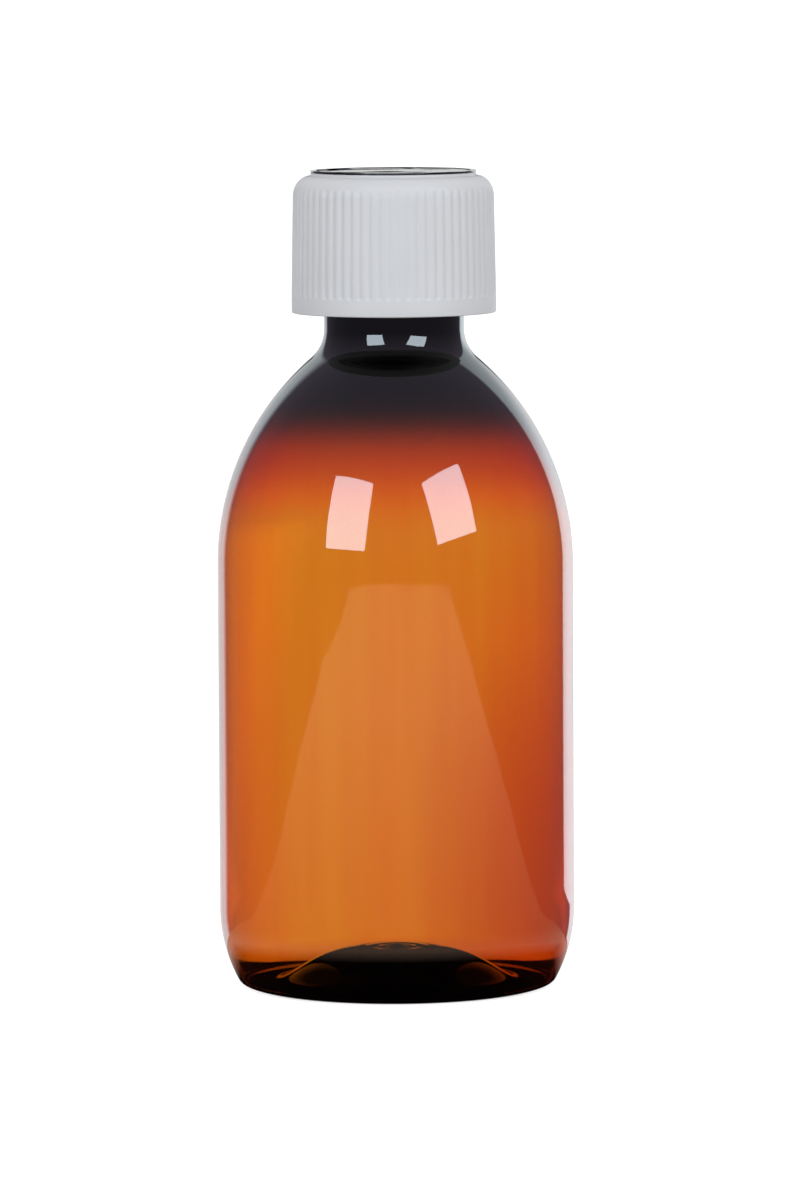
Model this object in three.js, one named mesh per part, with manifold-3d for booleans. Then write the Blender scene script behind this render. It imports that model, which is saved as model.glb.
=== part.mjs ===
// A 250 ml round amber PET medicine bottle with a two-piece push-and-turn screw cap.
// Millimetres, +Z up, z = 0 on the face that the bottle stands on, the bottle's axis on the z axis.
import * as THREE from "three";
import { mergeVertices } from "three/addons/utils/BufferGeometryUtils.js";
import Module from "manifold-3d";

const wasm = await Module();
wasm.setup();

// ---------------------------------------------------------------- driving dimensions

const ROUND = 48; // flats around a plain round piece
const FULL_TURN = 2 * Math.PI;

// Bottle, outside
const BODY_R = 30.5;
const TOE_R = 1.88; // small arc where the standing land turns up
const HEEL_R = 25.64; // large arc from the toe up to the wall
const HEEL_TOP = 13.17;
const SHOULDER_BASE = 72.46;
const SHOULDER_R = 46.72;
const NECK_R = 11.98;
const NECK_FILLET_R = 8.32;
const FINISH_R = 12.5; // root of the thread
const RIM_Z = 132;
const BEAD_R = 13.4; // transfer bead under the thread
const BEAD_Z = 116;
const BEAD_HEIGHT = 1.2;
const EDGE = 0.5; // chamfer on the bead, the rim and the cap's edges

// Bottle, walls and base
const WALL = 0.45;
const NECK_WALL = 1.63;
const WALL_GROWS_FROM = 85; // height where the wall starts to thicken towards the neck
const BORE_R = 10.8;
const DOME_TOP = 6.8; // inside of the push-up, at the axis
const DOME_R = 34;
const PUSH_UP = 4.6; // outside of the push-up, at the axis
const LAND_INNER_R = 20.6;
const GATE_R = 2;
const GATE_DROP = 0.4;

// Thread, 28 mm neck finish
const PITCH = 25.4 / 6;
const THREAD_TURNS = 1.5;
const THREAD_CREST_R = 13.7;
const THREAD_TOP = 130.2; // middle of the ridge where it ends
const THREAD_STEPS = 24; // steps in a turn
const RUN_OUT = 3; // steps over which a thread's end fades away
const THREAD_BITE = 0.3; // how deep a ridge's foot sits in its wall

// Inner cap, the part with the thread
const INNER_R = 15.2;
const INNER_BASE = 117.9;
const INNER_TOP = 134.9;
const INNER_BORE_R = 13.95;
const INNER_CEILING = 133.6;
const INNER_CREST_R = 12.85;

// Liner between the rim and the inner cap's ceiling
const LINER_R = 13.6;
const LINER_Z = RIM_Z + 0.3;
const LINER_THICK = 1;

// Outer cap, the ribbed shell
const SHELL_BASE = 115.6;
const SHELL_R = 17.5;
const SHELL_TOP_R = 17.2; // just under the rounded shoulder
const SHELL_SHOULDER_Z = 135.5;
const SHOULDER_WIDE = 3;
const SHOULDER_HIGH = 3.5;
const PLATFORM_R = 14.1;
const PLATFORM_Z = 139.6;
const SHELL_BORE_R = 15.6;
const SHELL_CEILING = 137.9;
const SNAP_R = 14.95; // bead that holds the inner cap in
const SNAP_Z = 116.6;
const RIBS = 64;
const RIB_DEPTH = 0.3;
const RIB_BASE = 118.3;
const RIB_SHOULDER_ANGLE = 40; // degrees up the shoulder where the ribs end

// Drive lugs between the two caps
const LUGS = 8;
const LUG_WIDE = 3.2;
const LUG_INNER_R = 10.6;
const LUG_LENGTH = 2.8;
const LUG_HEIGHT = 1.3;

// Spring fingers that hold the shell up
const FINGERS = 4;
const FINGER_R = 5.4;
const FINGER_WIDE = 1.8;
const SPRING_R = 7.6;
const SPRING_BORE_R = 4.6;
const SPRING_Z = 137.2;
const SPRING_THICK = 0.5;
const FINGER_DROP = 2;
const FINGER_RUN = 6.2;

// Printed card and its clear window on top
const RECESS_R = 13.5;
const RECESS_Z = 139.15;
const CARD_R = 13.2;
const CARD_Z = 139.2;
const CARD_THICK = 0.2;
const WINDOW_R = 14.2;
const WINDOW_Z = 139.65;
const WINDOW_THICK = 0.22;

// ---------------------------------------------------------------- helpers

const radians = THREE.MathUtils.degToRad;

// Points of an arc in the (radius, height) plane, between two angles in degrees.
// reach is its radius, or a function that gives the radius at an angle in radians.
function arc(centre, reach, from, to, steps) {
  return Array.from({ length: steps + 1 }, (_, i) => {
    const angle = radians(from + ((to - from) * i) / steps);
    const r = typeof reach === "function" ? reach(angle) : reach;
    return [centre[0] + r * Math.cos(angle), centre[1] + r * Math.sin(angle)];
  });
}

// Turns an outline of [radius, height] points about the z axis.
function turned(outline, segments = ROUND) {
  const points = outline.map(([radius, height]) => new THREE.Vector2(radius, height));
  return new THREE.LatheGeometry(points, segments).rotateX(Math.PI / 2);
}

// A closed geometry as a solid that can be joined and cut.
function solid(geometry) {
  const bare = geometry.clone();
  bare.deleteAttribute("normal");
  bare.deleteAttribute("uv");
  const merged = mergeVertices(bare);
  const index = merged.index.array;
  const triVerts = [];
  for (let i = 0; i < index.length; i += 3) {
    const [a, b, c] = index.subarray(i, i + 3);
    if (a !== b && b !== c && c !== a) triVerts.push(a, b, c);
  }
  const vertProperties = merged.attributes.position.array;
  return new wasm.Manifold(
    new wasm.Mesh({ numProp: 3, vertProperties, triVerts: new Uint32Array(triVerts) }),
  );
}

function geometryOf(body) {
  const { vertProperties, triVerts } = body.getMesh();
  const geometry = new THREE.BufferGeometry();
  geometry.setAttribute("position", new THREE.BufferAttribute(vertProperties, 3));
  geometry.setIndex(new THREE.BufferAttribute(triVerts, 1));
  geometry.computeVertexNormals();
  return geometry;
}

// A right-hand thread ridge whose middle climbs from startZ, fading into its wall at both ends.
function threadRidge({ rootR, crestR, rootHalf, crestHalf, startZ, turns }) {
  const steps = Math.round(turns * THREAD_STEPS);
  const section = [
    [rootR, -rootHalf],
    [crestR, -crestHalf],
    [crestR, crestHalf],
    [rootR, rootHalf],
    [rootR, -rootHalf],
  ];
  if (crestR < rootR) section.reverse();
  const ridge = turned(section, steps);
  const position = ridge.attributes.position;
  for (let i = 0; i < position.count; i++) {
    const step = Math.floor(i / section.length);
    const [radius, height] = section[i % section.length];
    const standing = Math.min(1, step / RUN_OUT, (steps - step) / RUN_OUT);
    const reach = rootR + (radius - rootR) * standing;
    const half = radius === rootR ? rootHalf : rootHalf + (crestHalf - rootHalf) * standing;
    const wound = step / THREAD_STEPS;
    const angle = wound * FULL_TURN;
    const z = startZ + PITCH * wound + Math.sign(height) * half;
    position.setXYZ(i, reach * Math.cos(angle), reach * Math.sin(angle), z);
  }
  return ridge;
}

// Extrudes an outline of [along, up] points outwards from a radius, at an angle around the axis.
// "along" runs counter-clockwise seen from above.
function radialBlock(outline, angle, innerR, length, z) {
  const shape = new THREE.Shape(outline.map(([along, up]) => new THREE.Vector2(along, up)));
  const block = new THREE.ExtrudeGeometry(shape, { depth: length, bevelEnabled: false });
  const out = new THREE.Vector3(Math.cos(angle), Math.sin(angle), 0);
  const up = new THREE.Vector3(0, 0, 1);
  const along = new THREE.Vector3().crossVectors(up, out);
  const place = new THREE.Matrix4().makeBasis(along, up, out);
  place.setPosition(out.x * innerR, out.y * innerR, z);
  return block.applyMatrix4(place);
}

function part(name, geometry, look) {
  const mesh = new THREE.Mesh(geometry, new THREE.MeshStandardMaterial(look));
  mesh.name = name;
  return mesh;
}

// ---------------------------------------------------------------- bottle

const heelCentre = [BODY_R - HEEL_R, HEEL_TOP];
const heelAngle = THREE.MathUtils.radToDeg(Math.asin((HEEL_TOP - TOE_R) / (HEEL_R - TOE_R)));
const landR = heelCentre[0] + (HEEL_R - TOE_R) * Math.cos(radians(heelAngle));
const shoulderCentre = [BODY_R - SHOULDER_R, SHOULDER_BASE];
const filletReach = NECK_R + NECK_FILLET_R - shoulderCentre[0];
const filletRise = Math.sqrt((SHOULDER_R + NECK_FILLET_R) ** 2 - filletReach ** 2);
const filletCentre = [NECK_R + NECK_FILLET_R, SHOULDER_BASE + filletRise];
const shoulderAngle = THREE.MathUtils.radToDeg(Math.atan2(filletRise, filletReach));

// Wall thickness at a height: thin round the body, thicker up the shoulder to the neck.
function wallAt(z) {
  const grown = THREE.MathUtils.smoothstep(z, WALL_GROWS_FROM, filletCentre[1]);
  return WALL + (NECK_WALL - WALL) * grown;
}

function bottleOutside() {
  const domeR = (LAND_INNER_R ** 2 + PUSH_UP ** 2) / (2 * PUSH_UP);
  const domeEdge = THREE.MathUtils.radToDeg(Math.acos(LAND_INNER_R / domeR));
  const gateZ = PUSH_UP - GATE_DROP;
  const dome = arc([0, PUSH_UP - domeR], domeR, 87, domeEdge, 4);
  const beadTop = BEAD_Z + BEAD_HEIGHT;
  return [
    [0, gateZ],
    [GATE_R, gateZ],
    ...dome,
    ...arc([landR, TOE_R], TOE_R, -90, -heelAngle, 3),
    ...arc(heelCentre, HEEL_R, -heelAngle, 0, 4).slice(1),
    ...arc(shoulderCentre, SHOULDER_R, 0, shoulderAngle, 8),
    ...arc(filletCentre, NECK_FILLET_R, 180 + shoulderAngle, 180, 4).slice(1),
    [NECK_R, BEAD_Z - EDGE],
    [BEAD_R, BEAD_Z],
    [BEAD_R, beadTop],
    [FINISH_R, beadTop + EDGE],
    [FINISH_R, RIM_Z - EDGE],
    [FINISH_R - EDGE, RIM_Z],
  ];
}

function bottleInside() {
  const domeEdge = THREE.MathUtils.radToDeg(Math.asin((DOME_R - DOME_TOP + WALL) / DOME_R));
  const insideFillet = (angle) => NECK_FILLET_R + wallAt(filletCentre[1] + NECK_FILLET_R * Math.sin(angle));
  const insideShoulder = (angle) => SHOULDER_R - wallAt(SHOULDER_BASE + SHOULDER_R * Math.sin(angle));
  return [
    [BORE_R, RIM_Z],
    [BORE_R, BEAD_Z],
    ...arc(filletCentre, insideFillet, 180, 180 + shoulderAngle, 4),
    ...arc(shoulderCentre, insideShoulder, shoulderAngle, 0, 8).slice(1),
    ...arc(heelCentre, HEEL_R - WALL, 0, -heelAngle, 4),
    ...arc([landR, TOE_R], TOE_R - WALL, -heelAngle, -90, 3).slice(1),
    ...arc([0, DOME_TOP - DOME_R], DOME_R, domeEdge, 90, 5),
  ];
}

function bottleGeometry() {
  const thread = threadRidge({
    rootR: FINISH_R - THREAD_BITE,
    crestR: THREAD_CREST_R,
    rootHalf: 1.3,
    crestHalf: 0.5,
    startZ: THREAD_TOP - THREAD_TURNS * PITCH,
    turns: THREAD_TURNS,
  });
  const blank = turned([...bottleOutside(), ...bottleInside()]);
  return geometryOf(solid(blank).add(solid(thread)));
}

// ---------------------------------------------------------------- inner cap and liner

function innerCapGeometry() {
  const blank = turned([
    [0, INNER_CEILING],
    [INNER_BORE_R, INNER_CEILING],
    [INNER_BORE_R, INNER_BASE + EDGE],
    [INNER_BORE_R + EDGE, INNER_BASE],
    [INNER_R, INNER_BASE],
    [INNER_R, INNER_TOP - EDGE],
    [INNER_R - EDGE, INNER_TOP],
    [0, INNER_TOP],
  ]);
  const thread = threadRidge({
    rootR: INNER_BORE_R + THREAD_BITE,
    crestR: INNER_CREST_R,
    rootHalf: 0.9,
    crestHalf: 0.4,
    startZ: THREAD_TOP - (THREAD_TURNS + 0.5) * PITCH,
    turns: THREAD_TURNS,
  });
  // A lug's square face stops the shell's square face when the shell unscrews.
  const lug = [
    [-LUG_WIDE / 2, -EDGE],
    [LUG_WIDE / 2, -EDGE],
    [LUG_WIDE / 2, 0],
    [0, LUG_HEIGHT],
    [-LUG_WIDE / 2, LUG_HEIGHT],
  ];
  let cap = solid(blank).add(solid(thread));
  for (let i = 0; i < LUGS; i++) {
    const angle = (i / LUGS) * FULL_TURN;
    cap = cap.add(solid(radialBlock(lug, angle, LUG_INNER_R, LUG_LENGTH, INNER_TOP)));
  }
  return geometryOf(cap);
}

function linerGeometry() {
  const top = LINER_Z + LINER_THICK;
  return turned([
    [0, LINER_Z],
    [LINER_R, LINER_Z],
    [LINER_R, top],
    [0, top],
  ]);
}

// ---------------------------------------------------------------- outer cap

// The ribbed outside: two flats to a rib, and the flats' odd corners drawn in where the ribs run.
function ribbedBlank() {
  const shoulderCentreR = SHELL_TOP_R - SHOULDER_WIDE;
  const shoulder = arc([0, 0], 1, 0, 90, 5).map(([across, up]) => [
    shoulderCentreR + SHOULDER_WIDE * across,
    SHELL_SHOULDER_Z + SHOULDER_HIGH * up,
  ]);
  const outline = [
    [0, SHELL_BASE],
    [SHELL_R - EDGE / 2, SHELL_BASE],
    [SHELL_R, SHELL_BASE + EDGE / 2],
    [SHELL_R, RIB_BASE],
    [SHELL_R, RIB_BASE + EDGE],
    ...shoulder,
    [PLATFORM_R, PLATFORM_Z],
    [RECESS_R, PLATFORM_Z],
    [RECESS_R, RECESS_Z],
    [0, RECESS_Z],
  ];
  const blank = turned(outline, 2 * RIBS);
  const ribTop = SHELL_SHOULDER_Z + SHOULDER_HIGH * Math.sin(radians(RIB_SHOULDER_ANGLE));
  const position = blank.attributes.position;
  for (let i = 0; i < position.count; i++) {
    const column = Math.floor(i / outline.length);
    const [radius, z] = outline[i % outline.length];
    if (column % 2 === 0 || radius < SHELL_TOP_R - SHOULDER_WIDE || z <= RIB_BASE || z > ribTop) continue;
    position.setX(i, (position.getX(i) * (radius - RIB_DEPTH)) / radius);
    position.setY(i, (position.getY(i) * (radius - RIB_DEPTH)) / radius);
  }
  return blank;
}

function outerCapGeometry() {
  const below = SHELL_BASE - 1;
  const hollow = turned([
    [0, below],
    [SHELL_BORE_R, below],
    [SHELL_BORE_R, SHELL_BASE + EDGE],
    [SNAP_R, SNAP_Z],
    [SNAP_R, SNAP_Z + EDGE],
    [SHELL_BORE_R, SNAP_Z + 2 * EDGE],
    [SHELL_BORE_R, SHELL_CEILING - EDGE],
    [SHELL_BORE_R - 2 * EDGE, SHELL_CEILING],
    [0, SHELL_CEILING],
  ]);
  const lug = [
    [LUG_WIDE / 2, EDGE],
    [-LUG_WIDE / 2, EDGE],
    [-LUG_WIDE / 2, 0],
    [0, -LUG_HEIGHT],
    [LUG_WIDE / 2, -LUG_HEIGHT],
  ];
  let shell = solid(ribbedBlank()).subtract(solid(hollow));
  for (let i = 0; i < LUGS; i++) {
    const angle = ((i + 0.5) / LUGS) * FULL_TURN;
    shell = shell.add(solid(radialBlock(lug, angle, LUG_INNER_R, LUG_LENGTH, SHELL_CEILING)));
  }
  return geometryOf(shell);
}

// A flat ring under the shell's ceiling with straight leaves that reach down to the inner cap.
function springGeometry() {
  const top = SPRING_Z + SPRING_THICK;
  const ring = turned([
    [SPRING_BORE_R, SPRING_Z],
    [SPRING_R, SPRING_Z],
    [SPRING_R, top],
    [SPRING_BORE_R, top],
    [SPRING_BORE_R, SPRING_Z],
  ]);
  const foot = FINGER_RUN - 1.4;
  const leaf = [
    [-1, SPRING_THICK / 2],
    [-1, 0],
    [0, 0],
    [foot, -FINGER_DROP],
    [FINGER_RUN, -FINGER_DROP],
    [FINGER_RUN, SPRING_THICK - FINGER_DROP],
    [foot + SPRING_THICK / 2, SPRING_THICK - FINGER_DROP],
    [1, SPRING_THICK / 2],
  ];
  let spring = solid(ring);
  for (let i = 0; i < FINGERS; i++) {
    const angle = (i / FINGERS) * FULL_TURN;
    spring = spring.add(solid(radialBlock(leaf, angle, FINGER_R, FINGER_WIDE, SPRING_Z)));
  }
  return geometryOf(spring);
}

function cardGeometry() {
  return turned([
    [0, CARD_Z],
    [CARD_R, CARD_Z],
    [CARD_R, CARD_Z + CARD_THICK],
    [0, CARD_Z + CARD_THICK],
  ]);
}

// A thin clear disc with a spigot that drops into the recess over the card.
function windowGeometry() {
  const bevel = WINDOW_THICK / 2;
  return turned([
    [0, WINDOW_Z - WINDOW_THICK],
    [CARD_R, WINDOW_Z - WINDOW_THICK],
    [CARD_R, WINDOW_Z],
    [WINDOW_R - bevel, WINDOW_Z],
    [WINDOW_R, WINDOW_Z + bevel],
    [WINDOW_R - bevel, WINDOW_Z + WINDOW_THICK],
    [0, WINDOW_Z + WINDOW_THICK],
  ]);
}

// ---------------------------------------------------------------- assembly

const amber = { color: 0xb4541c, roughness: 0.08, metalness: 0, transparent: true, opacity: 0.6 };
const white = { color: 0xdadde0, roughness: 0.42, metalness: 0 };
const foam = { color: 0xeeece6, roughness: 0.8, metalness: 0 };
const print = { color: 0x1d222c, roughness: 0.5, metalness: 0 };
const clear = { color: 0xf4f6f8, roughness: 0.05, metalness: 0, transparent: true, opacity: 0.3 };

const bottle = new THREE.Group();
bottle.add(part("bottle", bottleGeometry(), amber));

const cap = new THREE.Group();
cap.add(
  part("cap_liner", linerGeometry(), foam),
  part("inner_cap", innerCapGeometry(), white),
  part("spring_fingers", springGeometry(), white),
  part("outer_cap", outerCapGeometry(), white),
  part("instruction_card", cardGeometry(), print),
  part("top_window", windowGeometry(), clear),
);

const medicineBottle = new THREE.Group();
medicineBottle.add(bottle, cap);

export default medicineBottle;
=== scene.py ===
"""Visual model of a round amber PET medicine bottle with a white push-and-turn cap.

Sizes are in millimetres, measured from the face that the bottle stands on, and each mesh is
written in metres. The bottle's axis is Z, and its front faces -Y.
"""
import math

import bmesh
import bpy
from mathutils import Matrix, Vector

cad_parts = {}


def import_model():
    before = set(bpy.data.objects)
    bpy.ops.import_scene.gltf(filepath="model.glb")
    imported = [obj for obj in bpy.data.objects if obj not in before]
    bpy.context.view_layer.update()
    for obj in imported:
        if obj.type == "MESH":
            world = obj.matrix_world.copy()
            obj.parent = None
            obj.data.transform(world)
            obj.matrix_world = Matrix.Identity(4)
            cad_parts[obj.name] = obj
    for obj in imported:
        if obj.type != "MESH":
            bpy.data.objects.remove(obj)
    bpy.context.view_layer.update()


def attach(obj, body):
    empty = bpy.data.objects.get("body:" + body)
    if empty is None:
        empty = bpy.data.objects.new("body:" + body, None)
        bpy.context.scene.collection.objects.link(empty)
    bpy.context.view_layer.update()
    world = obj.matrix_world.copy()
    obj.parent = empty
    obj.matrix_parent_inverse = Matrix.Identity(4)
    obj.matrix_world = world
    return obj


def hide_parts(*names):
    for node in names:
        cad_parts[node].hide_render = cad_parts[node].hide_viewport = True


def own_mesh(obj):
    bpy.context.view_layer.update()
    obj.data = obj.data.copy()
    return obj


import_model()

MM = 0.001
FULL_TURN = 2 * math.pi

# ---------------------------------------------------------------- camera

CAMERA_PLACE = Vector((0, -1.341, 0.1913))
CAMERA_PITCH = math.radians(-5.334)
CAMERA_ROLL = math.radians(-0.3)
CAMERA_YAW = math.radians(-0.0332)
CAMERA_LENS = 235.3
SENSOR = 36
SEES_TO = 100  # metres, past the whole floor


def camera():
    data = bpy.data.cameras.new("camera")
    data.lens = CAMERA_LENS
    data.sensor_width = SENSOR
    data.clip_end = SEES_TO
    made = bpy.data.objects.new("camera", data)
    made.location = CAMERA_PLACE
    yaw = Matrix.Rotation(CAMERA_YAW, 3, "Z")
    pitch = Matrix.Rotation(math.pi / 2 + CAMERA_PITCH, 3, "X")
    roll = Matrix.Rotation(CAMERA_ROLL, 3, "Z")
    made.rotation_euler = (yaw @ pitch @ roll).to_euler()
    bpy.context.scene.collection.objects.link(made)
    bpy.context.scene.camera = made


# ---------------------------------------------------------------- sizes

COLUMNS = 192  # around a plain round piece
LONGEST = 0.9  # longest straight stretch between two rings
LONGEST_FLAT = 1.5  # the same on the flat pieces and the shell
LONGEST_WINDOW = 1.0
LONGEST_INNER = 0.4  # where the thread needs it finer
LONGEST_FINISH = 0.3

# Bottle, outside
BODY_R = 30.5
TOE_R = 1.88
HEEL_R = 25.64
HEEL_TOP = 13.17
SHOULDER_BASE = 72.46
SHOULDER_R = 46.72
NECK_R = 11.98
NECK_FILLET_R = 6.5
FINISH_R = 12.5
RIM_Z = 132
BEAD_R = 13.4
BEAD_Z = 116
BEAD_HEIGHT = 1.2

# Bottle, walls and base
WALL = 0.45
NECK_WALL = 1.55
WALL_GROWS_FROM = 78
WALL_GROWS_TO = 104
BORE_R = 10.8
DOME_TOP = 6.2
DOME_R = 21.5
PUSH_UP = 4.6
LAND_INNER_R = 20.6
SWELL_POWER = 3.8  # the higher, the flatter the push-up's top
GATE_R = 1.6
GATE_EDGE = (GATE_R * 0.6, GATE_R * 1.4)
GATE_DROP = 0.4
RIPPLE_HEIGHT = 0.09
RIPPLE_PITCH = 1.5
RIPPLE_REACH = 4.5
INSIDE_RIPPLE = 0.1
INSIDE_PITCH = 2.4
INSIDE_NUB = 0.35
NUB_EDGE = (GATE_R * 0.6, GATE_R * 1.2)
TOE_STEPS = 10
HEEL_STEPS = 18
SHOULDER_STEPS = 60
FILLET_STEPS = 16

# Thread of the 28 mm finish
PITCH = 25.4 / 6
THREAD_TURNS = 1.5
THREAD_TOP = 130.2
THREAD_CREST_R = 13.7
THREAD_ROOT_HALF = 1.3
THREAD_CREST_HALF = 0.5
RUN_OUT = math.radians(45)

# Liner
LINER_R = 13.6
LINER_Z = 132.3
LINER_THICK = 1

# Inner cap
INNER_R = 15.2
INNER_BASE = 117.9
INNER_TOP = 134.9
INNER_BORE_R = 13.95
INNER_CEILING = 133.6
INNER_CREST_R = 12.85
INNER_ROOT_HALF = 0.9
INNER_CREST_HALF = 0.4

# Outer cap
SHELL_BASE = 115.6
SHELL_R = 17.5
SHELL_TOP_R = 17.2
SHOULDER_Z = 135.5
SHOULDER_WIDE = 3
SHOULDER_HIGH = 3.5
PLATFORM_R = 14.1
PLATFORM_Z = 139.52
SHELL_BORE_R = 15.6
SHELL_CEILING = 137.9
SNAP_R = 14.95
SNAP_Z = 116.6
RECESS_R = 13.5
RECESS_Z = 139.15
RIBS = 64
RIB_COLUMNS = 12
RIB_DEPTH = 0.21
RIB_BASE = 118.3
RIB_FADE = 0.7  # along which a rib starts below, and ends above
RIB_TOP = 136.9
RIB_OVERRUN = 0.5
RIB_WIDTH = 1.5  # the higher, the wider the ribs and the narrower the grooves

# Drive lugs between the caps
LUGS = 8
LUG_WIDE = 3.2
LUG_INNER_R = 10.6
LUG_LENGTH = 2.8
LUG_HEIGHT = 1.3
LUG_ROOT = 0.4
LUG_BEVEL = 0.12

# Spring fingers
FINGERS = 4
FINGER_R = 5.4
FINGER_WIDE = 1.8
FINGER_DROP = 2
FINGER_RUN = 6.2
FINGER_ROOT = 1
FINGER_THINS = 0.4
SPRING_R = 7.6
SPRING_BORE_R = 4.6
SPRING_Z = 137.2
SPRING_THICK = 0.5
SPRING_COLUMNS = 96
FINGER_STEPS = 14
FINGER_BEVEL = 0.05

# Card and window on top
CARD_R = 13.2
CARD_Z = 139.2
CARD_THICK = 0.2
ARROW_LIFT = 0.02
ARROW_INNER_R = 7.6
ARROW_OUTER_R = 9.4
ARROW_SWEEP = math.radians(110)
ARROW_HEAD = math.radians(24)
ARROW_STARTS = (math.radians(145), math.radians(-35))
WINDOW_R = 14.2
WINDOW_Z = 139.56
WINDOW_THICK = 0.31
WINDOW_DROP = 0.12
WINDOW_DISH = 0.08  # how far the window lies below its lip


# ---------------------------------------------------------------- shape helpers

def arc(centre, reach, start, end, steps):
    """Points of an arc in the (radius, height) plane, between two angles in degrees.

    reach is its radius, or a function that gives the radius at an angle in radians.
    """
    points = []
    for i in range(steps + 1):
        angle = math.radians(start + (end - start) * i / steps)
        r = reach(angle) if callable(reach) else reach
        points.append((centre[0] + r * math.cos(angle), centre[1] + r * math.sin(angle)))
    return points


def rounded(corners, steps=5):
    """An outline from (radius, height, fillet) corners, each corner rounded by its fillet."""
    points = []
    for i, (x, z, fillet) in enumerate(corners):
        corner = Vector((x, z))
        if fillet == 0 or i in (0, len(corners) - 1):
            points.append((x, z))
            continue
        before = Vector(corners[i - 1][:2]) - corner
        after = Vector(corners[i + 1][:2]) - corner
        half = before.angle(after) / 2
        reach = min(fillet / math.tan(half), 0.49 * before.length, 0.49 * after.length)
        start = corner + before.normalized() * reach
        end = corner + after.normalized() * reach
        for k in range(steps + 1):
            t = k / steps
            bend = start * (1 - t) ** 2 + corner * 2 * t * (1 - t) + end * t ** 2
            points.append(tuple(bend))
    return points


def dense(outline, longest=LONGEST):
    """The same outline with its long stretches cut into short ones."""
    points = [outline[0]]
    for (r0, z0), (r1, z1) in zip(outline, outline[1:]):
        cuts = max(1, math.ceil(math.hypot(r1 - r0, z1 - z0) / longest))
        points += [(r0 + (r1 - r0) * k / cuts, z0 + (z1 - z0) * k / cuts) for k in range(1, cuts + 1)]
    return points


def smoothstep(value, low, high):
    t = min(1, max(0, (value - low) / (high - low)))
    return t * t * (3 - 2 * t)


def revolved(outline, columns=COLUMNS, shape=None, closed=False):
    """Vertices in mm and faces of an outline turned about Z, running counter-clockwise around it.

    shape(angle, radius, height) gives the radius that a point really has.
    """
    vertices = []
    rings = []
    for radius, height in outline:
        first = len(vertices)
        if radius < 1e-6:
            vertices.append((0, 0, height))
            rings.append([first] * columns)
            continue
        for c in range(columns):
            angle = FULL_TURN * c / columns
            r = shape(angle, radius, height) if shape else radius
            vertices.append((r * math.cos(angle), r * math.sin(angle), height))
        rings.append(list(range(first, first + columns)))
    faces = []
    pairs = list(zip(rings, rings[1:]))
    if closed:
        pairs.append((rings[-1], rings[0]))
    for low, high in pairs:
        for c in range(columns):
            d = (c + 1) % columns
            corners = [low[c], low[d], high[d], high[c]]
            faces.append(list(dict.fromkeys(corners)))
    return vertices, faces


def prism(outline, angle, inner_r, length, z, bevel):
    """A bevelled block: an outline of (along, up) points carried outwards from a radius, at an angle."""
    out = Vector((math.cos(angle), math.sin(angle), 0))
    along = Vector((-out.y, out.x, 0))
    up = Vector((0, 0, 1))
    mesh = bmesh.new()
    near = []
    for a, u in outline:
        near.append(mesh.verts.new(out * inner_r + along * a + up * (z + u)))
    far = [mesh.verts.new(v.co + out * length) for v in near]
    count = len(outline)
    mesh.faces.new(reversed(near))
    mesh.faces.new(far)
    for i in range(count):
        j = (i + 1) % count
        mesh.faces.new((near[i], near[j], far[j], far[i]))
    bmesh.ops.recalc_face_normals(mesh, faces=mesh.faces)
    bmesh.ops.bevel(mesh, geom=list(mesh.edges), offset=bevel, segments=2, affect="EDGES")
    mesh.verts.index_update()
    vertices = [tuple(v.co) for v in mesh.verts]
    faces = [[v.index for v in f.verts] for f in mesh.faces]
    mesh.free()
    return vertices, faces


def joined(*shapes):
    vertices = []
    faces = []
    for more_vertices, more_faces in shapes:
        first = len(vertices)
        vertices += more_vertices
        faces += [[first + i for i in face] for face in more_faces]
    return vertices, faces


def piece(name, shape, material, body, slot, *nodes):
    """A smooth-shaded object from vertices in mm, riding on a body in place of CAD nodes."""
    vertices, faces = shape
    mesh = bpy.data.meshes.new(name)
    mesh.from_pydata([(x * MM, y * MM, z * MM) for x, y, z in vertices], [], faces)
    mesh.shade_smooth()
    mesh.materials.append(material)
    made = bpy.data.objects.new(name, mesh)
    bpy.context.scene.collection.objects.link(made)
    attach(made, body)
    if nodes:
        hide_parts(*nodes)
    return made


# ---------------------------------------------------------------- shader helpers

def new_material(name):
    material = bpy.data.materials.new(name)
    material.use_nodes = True
    material.node_tree.nodes.clear()
    return material, material.node_tree


def add(tree, kind, inputs=None, **settings):
    """A node with its settings, and its inputs given as values or as sockets to link from."""
    made = tree.nodes.new(kind)
    for key, value in settings.items():
        setattr(made, key, value)
    for key, value in (inputs or {}).items():
        if isinstance(value, bpy.types.NodeSocket):
            tree.links.new(value, made.inputs[key])
        else:
            made.inputs[key].default_value = value
    return made


def object_position(tree, scale=(1, 1, 1)):
    place = add(tree, "ShaderNodeTexCoord").outputs["Object"]
    mapping = add(tree, "ShaderNodeMapping", {"Vector": place, "Scale": scale})
    return mapping.outputs["Vector"]


def noise(tree, scale, stretch=(1, 1, 1), detail=2.0):
    place = object_position(tree, stretch)
    made = add(tree, "ShaderNodeTexNoise", {"Vector": place, "Scale": scale, "Detail": detail})
    return made.outputs["Fac"]


def ramp(tree, factor, stops):
    made = add(tree, "ShaderNodeValToRGB", {"Fac": factor})
    elements = made.color_ramp.elements
    elements[0].position, elements[0].color = stops[0][0], (*stops[0][1], 1)
    elements[1].position, elements[1].color = stops[-1][0], (*stops[-1][1], 1)
    for place, colour in stops[1:-1]:
        element = elements.new(place)
        element.color = (*colour, 1)
    return made.outputs["Color"]


def spread(tree, factor, low, high, start=0.3, end=0.7):
    """A value spread from one range to another."""
    inputs = {"Value": factor, "From Min": start, "From Max": end, "To Min": low, "To Max": high}
    return add(tree, "ShaderNodeMapRange", inputs).outputs["Result"]


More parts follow.
